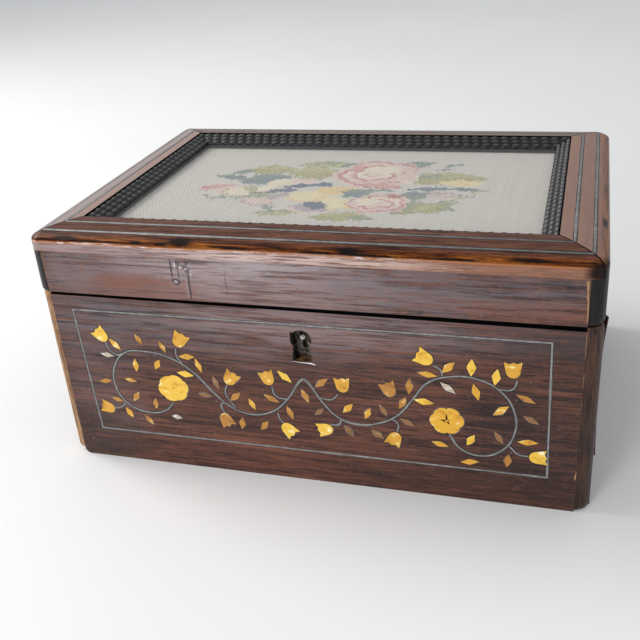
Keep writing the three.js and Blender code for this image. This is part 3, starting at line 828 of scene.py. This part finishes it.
# Damage that the photo shows: cracks in a flower, chips along the posts, splintered keyhole edge
# Crack rays: direction in degrees, length, width
crackRays = [(92, 4.4, 1.0), (176, 3.6, 0.9), (214, 2.2, 0.5), (308, 2.6, 1.0), (24, 1.6, 0.5)]
lostSkin = {
    "lid_right": [(130.7, 122.8), (132.6, 122.9), (132.7, 118), (132.5, 112), (132.6, 106), (132.5, 102.6),
                  (132.1, 104), (132.2, 107), (131.8, 110), (131.9, 113), (131.4, 115), (131.5, 118),
                  (131, 120.5)],
    "lid_left": [(-132.9, 122.4), (-132.2, 122.6), (-132.3, 116), (-132.5, 111), (-132.6, 105.5),
                 (-132.9, 107)],
    "post_high": [(132.6, 98.4), (132.85, 98.4), (132.8, 92), (132.85, 87), (132.7, 84), (132.65, 91)],
    "post_middle": [(132.65, 77), (132.85, 77.2), (132.85, 71), (132.7, 69.6)],
    "post_low": [(132.6, 62), (132.85, 62.4), (132.8, 59), (132.65, 58.4)],
    "post_foot": [(132.5, 23), (132.85, 23.4), (132.8, 20), (132.5, 18.6), (132, 19.6), (131.9, 21.4),
                  (132.3, 22.4)],
}
splinters = [
    [(-3.2, 88.2), (-3.9, 87.4), (-4.1, 85.8), (-3.8, 84.6), (-4.1, 83), (-3.9, 81.4), (-3.2, 80.2),
     (-2.8, 82), (-3, 85)],
    [(-2.4, 79.4), (-2.9, 78.4), (-2.95, 76.6), (-3.2, 75.2), (-3.1, 73.2), (-3.4, 71.8), (-2.5, 71.7),
     (-2.2, 75)],
    [(6, 86.2), (6.4, 85.6), (6.3, 84.2), (6.6, 83.2), (6.2, 82.2), (5.8, 84)],
]
keyholeSliver = [(-3.9, 71.62), (0.6, 71.2), (5.6, 71.35), (7.9, 70.5), (7.4, 70.2), (5.2, 70.75),
                 (0.6, 71), (-3.8, 71.5)]


def unmoved(outlines):
    return [(outline, (0, 0)) for outline in outlines]


# Each outline comes with its centre on the front
def damagePiece(name, outlines, mat, rise):
    bm = bmesh.new()
    for outline, centre in outlines:
        plate(bm, outline, centre, 0, rise, rise + 0.1 * mm)
    addPiece(name, meshFrom(bm, name), mat, smooth=False)


cracks = []
for turn, length, width in crackRays:
    c, s = math.cos(math.radians(turn)), math.sin(math.radians(turn))
    ray = [(0.6, -width / 2), (length * 0.55, -width * 0.4), (length, 0), (length * 0.5, width * 0.35),
           (0.6, width / 2)]
    cracks.append(([(x * c - z * s, x * s + z * c) for x, z in ray], flowers[1][:2]))
cracks.append(([(0.35 * math.cos(a), 0.35 * math.sin(a)) for a in range(6)], flowers[0][:2]))
# The cracks and splinters are flat sheets painted as the shade in their hollows
damagePiece("flower_cracks", cracks, hollowShade, pearlShape["rise"] + 0.02 * mm)
damagePiece("lost_skin", unmoved(lostSkin.values()), barePostWood, 0.04 * mm)
damagePiece("keyhole_splinters", unmoved(splinters), hollowShade, 0.03 * mm)
damagePiece("keyhole_sliver", unmoved([keyholeSliver]), pearls["white"], 0.06 * mm)


# Veneer of the right side has come loose along its front edge and lost its lower end
veneer = dict(front=-86.6, width=4.6, low=25.5, high=100.2, thick=0.6, rows=30, columns=5, rest=0.12,
              outHigh=1.5, curlHigh=0.28, outLow=0.8, curlLow=0.32)


def looseVeneer():
    bm = bmesh.new()
    bmesh.ops.create_grid(bm, x_segments=veneer["columns"], y_segments=veneer["rows"], size=1)
    for vert in bm.verts:
        across, up = (vert.co.x + 1) / 2, (vert.co.y + 1) / 2
        y = veneer["front"] + across * veneer["width"] * (1 - 0.2 * math.sin(9 * up) - 0.25 * up)
        z = veneer["low"] + up * (veneer["high"] - veneer["low"])
        high = veneer["outHigh"] * max(0, 1 - (1 - up) / veneer["curlHigh"]) ** 1.5
        low = veneer["outLow"] * max(0, 1 - up / veneer["curlLow"]) ** 1.3
        x = halfWidth / mm + veneer["rest"] + (high + low) * (1 - across) ** 1.2
        vert.co = (x * mm, y * mm, z * mm)
    bm.normal_update()
    bmesh.ops.solidify(bm, geom=list(bm.faces), thickness=veneer["thick"] * mm)
    mesh = meshFrom(bm, "loose_veneer")
    addPiece("loose_veneer", mesh, nodeFinish["right_board"], smooth=False)


looseVeneer()
print("damage")


# Strings on the top frame follow its cushion profile
cushion = dict(face=4.75 * mm, crown=6.125 * mm, width=21.75 * mm)
topStrings = dict(insets=(6.6 * mm, 15.1 * mm), line=1.25 * mm, mitre=0.45 * mm)
topLines = [("", topStrings["line"], inlay["pressed"], pewter, "pewter"),
            ("_groove", topStrings["line"] + inlay["groove"], inlay["grooveDepth"], mastic, "dark_wood")]


def cushionHeight(inset):
    share = (cushion["width"] - inset) / cushion["width"]
    return frameBase + cushion["face"] + cushion["crown"] * math.sqrt(1 - share ** 2)


def cushionSlope(inset):
    step = 0.1 * mm
    return math.atan2(cushionHeight(inset + step) - cushionHeight(inset - step), 2 * step)


def turnedCopy(quarter):
    return Matrix.Rotation(math.radians(90) * quarter, 4, "Z")


# Half the length of a side, and how far it stands from the middle
def sideReach(quarter):
    return (halfWidth, halfDepth) if quarter % 2 == 0 else (halfDepth, halfWidth)


for number, inset in enumerate(topStrings["insets"]):
    for quarter, side in enumerate(sides):
        half, away = sideReach(quarter)
        reach = half - inset - topStrings["mitre"]
        lift = Matrix.Translation((0, inset - away, cushionHeight(inset)))
        tilt = turnedCopy(quarter) @ lift @ Matrix.Rotation(cushionSlope(inset), 4, "X")
        for part, line, pressed, mat, slot in topLines:
            name = f"top_string_{side}_{'outer' if number == 0 else 'inner'}{part}"
            mesh = wire(name, [[(-reach, 0, 0), (0, 0, 0), (reach, 0, 0)]], line, smooth=False)
            pressFlat(mesh, 2, 0, pressed)
            mesh.transform(tilt)
            addPiece(name, mesh, mat)
print("top strings")


# Ripple moulding: three beads, each cut into small waves, drawn from the frame down to the glass
ripple = dict(lag=0.12, gap=0.4 * mm, width=7.9 * mm, drop=0.55 * mm, fall=4.1 * mm, beads=3,
              rise=0.85 * mm, pitch=5.8 * mm, swing=0.36 * mm, mitre=0.16 * mm, perBead=8, perWave=12)


def rippleSide(side, quarter):
    name = "rippled_" + side
    half, away = sideReach(quarter)
    outer = cushion["width"] + ripple["gap"]
    length = half - outer
    rows = ripple["beads"] * ripple["perBead"]
    columns = int(2 * length / ripple["pitch"] * ripple["perWave"])
    bm = bmesh.new()
    bmesh.ops.create_grid(bm, x_segments=columns, y_segments=rows, size=1)
    top = topZ - ripple["drop"]
    layer = bm.verts.layers.float_color.new("crest")
    for vert in bm.verts:
        across = (vert.co.y + 1) / 2
        reach = length - across * ripple["width"] - ripple["mitre"]
        x = vert.co.x * reach
        bead = across * ripple["beads"]
        row = min(int(bead), ripple["beads"] - 1)
        rounded = math.sin(math.pi * (bead - row))
        phase = 2 * math.pi * (x / ripple["pitch"] + ripple["lag"] * row)
        cut = max(0.12 + 0.88 * rounded, 6 * across - 5)
        wave = math.sin(phase) * ripple["swing"] * cut
        # the crest weight drives the painted highlight on the wave crests
        crest = (0.5 + 0.5 * math.sin(phase)) ** 0.6 * (0.1 + 0.9 * rounded ** 2)
        vert[layer] = (crest, crest, crest, 1)
        z = top - across * ripple["fall"] + ripple["rise"] * rounded + wave - ripple["swing"]
        vert.co = (x, outer - away + across * ripple["width"], z)
    closeBelow(bm, glassTopZ)
    mesh = meshFrom(bm, name)
    mesh.transform(turnedCopy(quarter))
    return addPiece(name, mesh, ebonised[side])


for quarter, side in enumerate(sides):
    piece = rippleSide(side, quarter)
    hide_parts("ripple_moulding_" + side)
print("ripple moulding")


# Needlework: one face for each stitch, the bouquet worked in wool tones

needlework = dict(stitch=0.9 * mm, below=0.25 * mm, relief=0.045 * mm, shade=0.05, fray=0.75)
wool = {
    "ground": (0.54, 0.505, 0.45), "pink": (0.4, 0.12, 0.12), "softPink": (0.56, 0.29, 0.26),
    "palePink": (0.62, 0.46, 0.41), "cream": (0.68, 0.6, 0.46), "yellow": (0.66, 0.48, 0.2),
    "paleYellow": (0.68, 0.58, 0.34), "olive": (0.3, 0.28, 0.1), "paleOlive": (0.43, 0.4, 0.19),
    "sage": (0.2, 0.25, 0.17), "blueGrey": (0.12, 0.17, 0.19), "slate": (0.075, 0.09, 0.15),
    "violet": (0.36, 0.29, 0.31), "rebate": (0.012, 0.01, 0.009),
}


class Picture:
    def __init__(self, x, y, chance):
        fray = needlework["fray"]
        self.x = x + fray * (np.sin(0.75 * y + 0.3 * x) + chance.uniform(-1, 1, len(x)))
        self.y = y + fray * (np.sin(0.7 * x - 0.4 * y) + chance.uniform(-1, 1, len(y)))
        self.color = np.tile(np.array(wool["ground"]), (len(x), 1))

    def local(self, centre, turn):
        c, s = math.cos(math.radians(turn)), math.sin(math.radians(turn))
        dx, dy = self.x - centre[0], self.y - centre[1]
        return dx * c + dy * s, dy * c - dx * s

    def paint(self, inside, tone):
        self.color[inside] = wool[tone]

    # A leaf in two tones, worked in slanting strokes from its vein
    def leaf(self, centre, length, width, turn, light, dark, vein=None):
        u, v = self.local(centre, turn)
        stroke = np.sin(1.9 * u - 1.5 * abs(v) + length)
        edge = width / 2 * (1 - (2 * u / length) ** 2) * (1 + 0.22 * stroke)
        inside = (abs(u) < length / 2) & (abs(v) < edge)
        self.paint(inside, light)
        self.paint(inside & (stroke > np.where(v < 0, -0.55, 0.5)), dark)
        self.paint(inside & (abs(v) < 0.6) & (abs(u) < length * 0.42), vein or dark)

    # A petal: an ellipse with a shaded rim on one side
    def petal(self, centre, length, width, turn, tone, rim):
        u, v = self.local(centre, turn)
        away = ((2 * u / length) ** 2 + (2 * v / width) ** 2) * (1 + 0.14 * np.sin(1.6 * u))
        self.paint(away < 1, tone)
        self.paint((away < 1) & (away > 0.62) & (v < 0.1 * width), rim)

    # A rose: rows of petals round a light heart, drawn as broken rings
    def rose(self, centre, length, width, turn, rings, tones):
        u, v = self.local(centre, turn)
        u, v = 2 * u / length, 2 * v / width
        angle = np.arctan2(v, u)
        away = np.hypot(u, v) * (1 + 0.07 * np.cos(5 * angle + 0.6))
        self.paint(away < 1, tones[0])
        turnIn = (away * rings + angle / (2 * math.pi) + 0.12 * np.sin(3 * angle)) % 1
        self.paint((away < 0.98) & (away > 0.22) & (turnIn < 0.36), tones[1])
        broken = np.sin(3 * angle + away * 5) > -0.45
        self.paint((away < 0.98) & (away > 0.26) & (turnIn < 0.17) & broken, tones[2])
        self.paint((away < 0.7) & (v > -0.3) & (turnIn > 0.5), tones[3])

    # A twig: an arc of a stalk with small leaves at both sides
    def twig(self, start, length, bend, turn, stalk, light, dark, pairs):
        u, v = self.local(start, turn)
        spine = bend * (u / length) ** 2
        self.paint((u > 0) & (u < length) & (abs(v - spine) < 0.55), stalk)
        c, s = math.cos(math.radians(turn)), math.sin(math.radians(turn))
        for i in range(pairs):
            along = length * (i + 1) / pairs
            rise = bend * (along / length) ** 2
            at = (start[0] + along * c - rise * s, start[1] + along * s + rise * c)
            side = 1 if i % 2 else -1
            centre = (at[0] - side * 2.2 * s, at[1] + side * 2.2 * c)
            self.leaf(centre, 6.5, 2.8, turn + side * 38, light, dark)


def bouquet(p):
    # leaves behind the flowers
    p.leaf((-53, 28), 32, 18, 8, "paleOlive", "olive")
    p.leaf((-50, 11), 32, 19, 22, "sage", "blueGrey")
    p.leaf((-53, -12), 32, 20, -14, "paleOlive", "sage")
    p.leaf((-71, 13), 26, 8, -12, "sage", "blueGrey")
    p.leaf((-68, 23), 18, 7, 24, "blueGrey", "sage")
    p.leaf((-22, 40), 34, 13, 10, "sage", "paleOlive")
    p.leaf((-24, 24), 36, 22, -4, "paleOlive", "olive")
    p.leaf((-7, 39), 15, 7, 30, "blueGrey", "sage")
    p.leaf((32, 42), 24, 13, 22, "blueGrey", "sage")
    p.leaf((51, 19), 54, 21, 4, "paleOlive", "olive", "sage")
    p.leaf((63, 12), 27, 11, 3, "yellow", "paleYellow")
    p.leaf((40, 22), 26, 7, 14, "olive", "sage")
    p.leaf((47, 1), 26, 6, 6, "slate", "blueGrey")
    p.leaf((66, 2), 16, 5, -4, "slate", "blueGrey")
    p.leaf((54, -8), 32, 11, -4, "violet", "palePink")
    p.leaf((39, -12), 22, 15, 30, "blueGrey", "sage")
    p.leaf((41, -29), 24, 15, 60, "sage", "olive")
    p.leaf((54, -27), 25, 15, 40, "paleOlive", "olive")
    p.leaf((8, -44), 32, 13, 8, "paleOlive", "olive")
    p.leaf((20, -45), 14, 6, -18, "olive", "sage")
    p.leaf((-26, -42), 30, 9, 8, "sage", "paleOlive")
    p.leaf((-33, -36), 15, 5, -52, "blueGrey", "sage")
    # bud at the left
    p.petal((-68, -8), 24, 15, -18, "palePink", "cream")
    p.petal((-60, -12), 19, 12, -34, "cream", "paleOlive")
    p.petal((-74, -3), 19, 5, 12, "softPink", "pink")
    p.petal((-80, -9), 7, 6, 40, "softPink", "pink")
    p.twig((-60, -21), 15, -3, 192, "sage", "paleOlive", "sage", 3)
    # cream flower and its shadows
    p.petal((-37, -8), 24, 7, 14, "slate", "slate")
    p.petal((-25, 1), 22, 6, 16, "slate", "blueGrey")
    p.petal((-39, 6), 17, 12, 34, "cream", "paleYellow")
    p.petal((-44, -5), 14, 9, 50, "cream", "palePink")
    p.petal((-27, 9), 17, 7, -6, "palePink", "cream")
    p.petal((-34, -17), 17, 8, 40, "violet", "palePink")
    p.petal((-42, -26), 20, 12, -10, "palePink", "violet")
    # pansies
    p.petal((-9, -33), 26, 15, 6, "violet", "palePink")
    p.petal((-18, -16), 21, 16, 6, "paleYellow", "yellow")
    p.petal((0, -25), 23, 17, -24, "paleYellow", "yellow")
    p.petal((-9, -29), 14, 10, -24, "slate", "slate")
    p.petal((-4, -6), 23, 15, 10, "yellow", "paleYellow")
    p.petal((-12, 4), 9, 8, 0, "slate", "blueGrey")
    p.petal((8, -10), 15, 11, 20, "blueGrey", "sage")
    # roses
    p.rose((13, 24), 49, 48, 14, 3.2, ("palePink", "softPink", "pink", "cream"))
    p.petal((16, 31), 22, 15, 12, "cream", "palePink")
    p.petal((-1, 33), 13, 8, 40, "softPink", "pink")
    p.petal((19, 4), 25, 8, -6, "softPink", "pink")
    p.petal((32, 20), 12, 20, 10, "palePink", "cream")
    p.leaf((14, -4), 34, 5, 5, "blueGrey", "sage")
    p.rose((24, -23), 33, 29, 8, 2.7, ("palePink", "softPink", "pink", "cream"))
    p.petal((18, -22), 15, 12, 10, "cream", "palePink")
    p.petal((31, -12), 12, 5, -14, "pink", "softPink")
    # sprigs at the right
    p.twig((58, -18), 26, 7, 34, "paleOlive", "paleYellow", "sage", 5)
    p.twig((56, -14), 17, -6, -52, "sage", "paleOlive", "sage", 4)
    p.twig((46, 33), 16, 3, 40, "sage", "sage", "blueGrey", 3)


def stitchedPanel():
    low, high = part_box("needlework_panel")
    across = int((high.x - low.x) / needlework["stitch"])
    deep = int((high.y - low.y) / needlework["stitch"])
    bm = bmesh.new()
    bmesh.ops.create_grid(bm, x_segments=across, y_segments=deep, size=1)
    bmesh.ops.scale(bm, verts=bm.verts, vec=((high.x - low.x) / 2, (high.y - low.y) / 2, 1))
    bmesh.ops.translate(bm, verts=bm.verts, vec=(0, 0, high.z - needlework["below"]))
    random.seed(5)
    for vert in bm.verts:
        vert.co.z += random.uniform(-1, 1) * needlework["relief"]
    closeBelow(bm, low.z)
    mesh = meshFrom(bm, "needlework_stitches")
    count = len(mesh.polygons)
    centres = np.zeros(count * 3)
    corners = np.zeros(count, dtype=int)
    mesh.polygons.foreach_get("center", centres)
    mesh.polygons.foreach_get("loop_total", corners)
    centres = centres.reshape(-1, 3) / mm
    chance = np.random.RandomState(7)
    picture = Picture(centres[:, 0], centres[:, 1], chance)
    bouquet(picture)
    # Painted shade: stitches that lie under the moulding are painted near black, the shade seen through the
    # glass below its edge
    reach = (cushion["width"] + ripple["gap"] + ripple["width"]) / mm
    hidden = np.minimum(halfWidth / mm - abs(centres[:, 0]), halfDepth / mm - abs(centres[:, 1])) < reach
    picture.color[hidden] = wool["rebate"]
    column = chance.uniform(-1, 1, across + 2)
    index = np.clip(((centres[:, 0] * mm - low.x) / needlework["stitch"]).astype(int), 0, across)
    light = 1 + needlework["shade"] * (chance.uniform(-1, 1, count) + 0.6 * column[index])
    tinted = np.clip(picture.color * light[:, None], 0, 1)
    rgba = np.ones((int(corners.sum()), 4))
    rgba[:, :3] = np.repeat(tinted, corners, axis=0)
    layer = mesh.color_attributes.new("wool", "FLOAT_COLOR", "CORNER")
    layer.data.foreach_set("color", rgba.ravel())
    return mesh


def woolMaterial():
    mat, nt, shader = newMaterial("needlework_wool")
    stitches = addNode(nt, "ShaderNodeVertexColor", layer_name="wool")
    soil = mask(nt, noise(nt, place(nt), 24, 4, 0.6), 0.45, 0.75)
    color = blendColor(nt, times(nt, soil, 0.16), stitches.outputs["Color"], (0.4, 0.36, 0.29))
    step = 2 * math.pi / needlework["stitch"]
    x, y = axisValue(nt, "X"), axisValue(nt, "Y")
    slant = maths(nt, "SINE", times(nt, plus(nt, x, times(nt, y, 0.5)), step))
    row = maths(nt, "SINE", times(nt, y, step / 2))
    height = plus(nt, slant, maths(nt, "ABSOLUTE", row))
    fill(nt, shader, Base_Color=color, Roughness=0.9, Sheen_Weight=0.15,
         Normal=bump(nt, height, 0.5, 0.00022))
    return mat


panel = addPiece("needlework_stitches", stitchedPanel(), woolMaterial(), smooth=False)
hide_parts("needlework_panel")
print("needlework stitched")


# Floor, light and camera

studioLook = dict(floorHalf=4, sky=(0.95, 0.97, 1.0, 1), skyStrength=0.6)
lights = {"window_left": dict(stand=(-1.25, 0.1, 1.0), size=0.9, power=15, color=(1.0, 0.98, 0.95)),
          "window_front": dict(stand=(-0.45, -1.45, 0.62), size=0.5, power=9, color=(0.98, 0.98, 1.0))}
boxMiddle = (0, 0, 0.08)


def studio():
    floorMesh = bpy.data.meshes.new("studio_floor")
    bm = bmesh.new()
    bmesh.ops.create_grid(bm, x_segments=1, y_segments=1, size=studioLook["floorHalf"])
    bm.to_mesh(floorMesh)
    bm.free()
    floor = newObject("studio_floor", floorMesh)
    mat, nt, shader = newMaterial("pale_floor")
    tone = noise(nt, place(nt), 3, 2, 0.5)
    color = ramp(nt, tone, [(0.3, (0.87, 0.87, 0.865)), (0.7, (0.9, 0.9, 0.895))])
    fill(nt, shader, Base_Color=color, Roughness=0.7)
    floorMesh.materials.append(mat)
    world = bpy.data.worlds.new("studio")
    bpy.context.scene.world = world
    world.use_nodes = True
    sky = world.node_tree.nodes["Background"]
    fill(world.node_tree, sky, Color=studioLook["sky"], Strength=studioLook["skyStrength"])
    bpy.context.scene.view_settings.view_transform = "Standard"


def areaLight(name, stand, size, power, color):
    data = bpy.data.lights.new(name, "AREA")
    data.shape = "DISK"
    data.size = size
    data.energy = power
    data.color = color
    light = newObject(name, data)
    light.location = stand
    light.rotation_euler = (Vector(boxMiddle) - Vector(stand)).to_track_quat("-Z", "Y").to_euler()


def camera():
    view = dict(focalPixels=882.6, imagePixels=640, place=(126.52, -451.45, 285.78),
                right=(0.95903, 0.27482, -0.06885), down=(0.06735, -0.45721, -0.88681),
                forward=(-0.27519, 0.84583, -0.45698))
    data = bpy.data.cameras.new("photo_camera")
    data.sensor_width = 36
    data.lens = view["focalPixels"] / view["imagePixels"] * data.sensor_width
    data.clip_start = 0.01
    cam = newObject("photo_camera", data)
    right, down, forward = (Vector(view[key]) for key in ("right", "down", "forward"))
    turn = Matrix((right, -down, -forward)).transposed()
    cam.matrix_world = Matrix.Translation(Vector(view["place"]) * mm) @ turn.to_4x4()
    bpy.context.scene.camera = cam


studio()
for name, light in lights.items():
    areaLight(name, **light)
camera()
print("studio ready")
